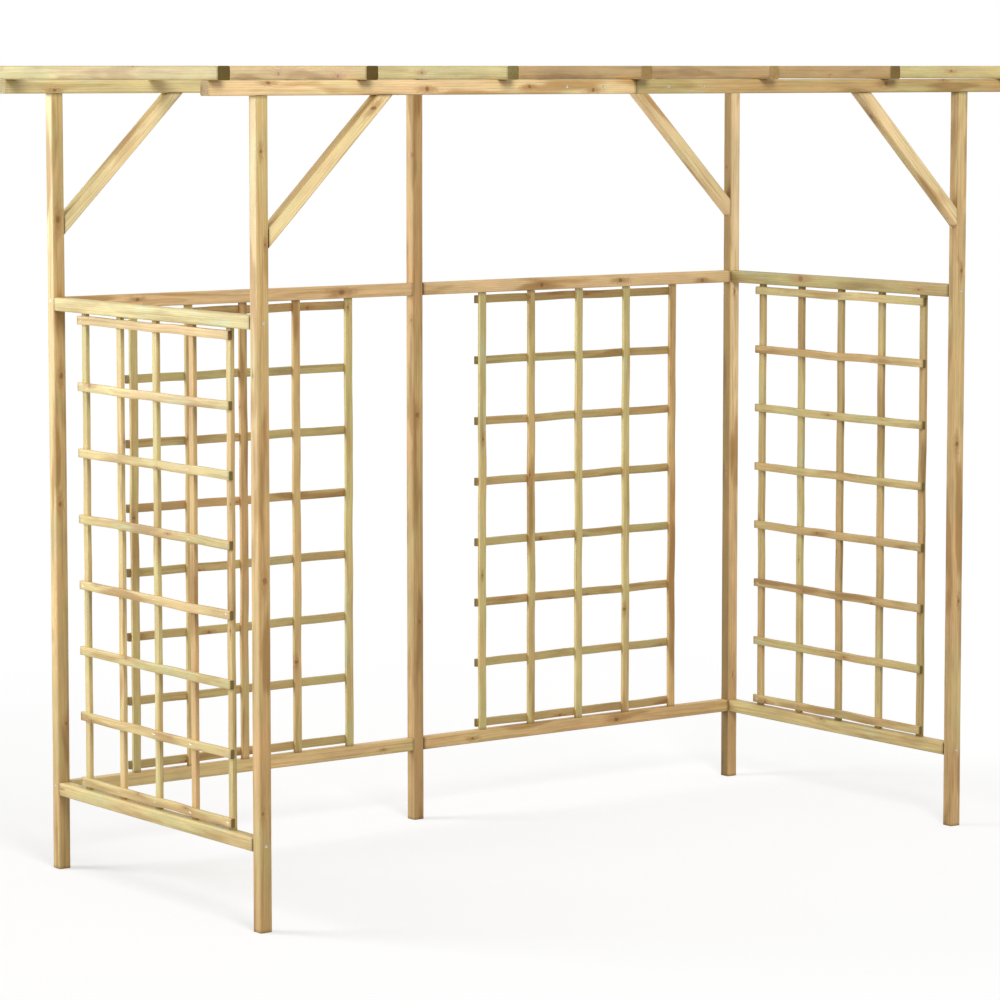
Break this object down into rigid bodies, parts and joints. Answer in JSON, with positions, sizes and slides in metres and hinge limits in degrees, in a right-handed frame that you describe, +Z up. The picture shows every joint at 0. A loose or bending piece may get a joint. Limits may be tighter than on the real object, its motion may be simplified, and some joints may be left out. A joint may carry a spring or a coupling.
{
  "type": "pergola",
  "caption": "Free-standing garden pergola of square timbers: open front, trellis on the sides and back, knee braces under two roof beams, and rafters across them.",
  "frame": {"origin": "on the ground, midway between the left and the right posts and between the front and the back posts", "axes": "+X to the right along the open front, +Y from the open front to the back wall, +Z up"},
  "size_m": [2.55, 1.07, 2.0706],
  "materials": {
    "posts": "planed, impregnated, unpainted",
    "rails": "planed, impregnated, unpainted",
    "beams": "planed, impregnated, unpainted",
    "splice_block": "planed, impregnated, unpainted",
    "braces": "planed, impregnated, unpainted",
    "rafters": "planed, impregnated, unpainted",
    "trellis": "planed, impregnated, unpainted",
    "screws": "zinc plated"
  },
  "bodies": {
    "root": {"post_front_left": "posts", "post_front_right": "posts", "post_back_left": "posts", "post_back_middle": "posts", "post_back_right": "posts", "rail_left_lower": "rails", "rail_left_upper": "rails", "rail_right_lower": "rails", "rail_right_upper": "rails", "rail_back_left_lower": "rails", "rail_back_left_upper": "rails", "rail_back_right_lower": "rails", "rail_back_right_upper": "rails", "beam_front_left": "beams", "beam_front_right": "beams", "beam_back_left": "beams", "beam_back_right": "beams", "splice_block": "splice_block", "brace_front_left": "braces", "brace_front_right": "braces", "brace_back_left": "braces", "brace_back_right": "braces", "rafter_1": "rafters", "rafter_2": "rafters", "rafter_3": "rafters", "rafter_4": "rafters", "rafter_5": "rafters", "rafter_6": "rafters", "rafter_7": "rafters", "trellis_left": "trellis", "trellis_right": "trellis", "trellis_back_left": "trellis", "trellis_back_right": "trellis", "screw_left_lower_front": "screws", "screw_left_lower_back": "screws", "screw_back_left_lower_outer": "screws", "screw_back_left_lower_inner": "screws", "screw_left_upper_front": "screws", "screw_left_upper_back": "screws", "screw_back_left_upper_outer": "screws", "screw_back_left_upper_inner": "screws", "screw_splice_left_inner": "screws", "screw_splice_left_outer": "screws", "screw_beam_middle_left": "screws", "screw_right_lower_front": "screws", "screw_right_lower_back": "screws", "screw_back_right_lower_outer": "screws", "screw_back_right_lower_inner": "screws", "screw_right_upper_front": "screws", "screw_right_upper_back": "screws", "screw_back_right_upper_outer": "screws", "screw_back_right_upper_inner": "screws", "screw_splice_right_inner": "screws", "screw_splice_right_outer": "screws", "screw_beam_middle_right": "screws", "screw_beam_front_left": "screws", "screw_beam_front_right": "screws", "screw_beam_back_left": "screws", "screw_beam_back_right": "screws"}
  },
  "joints": []
}
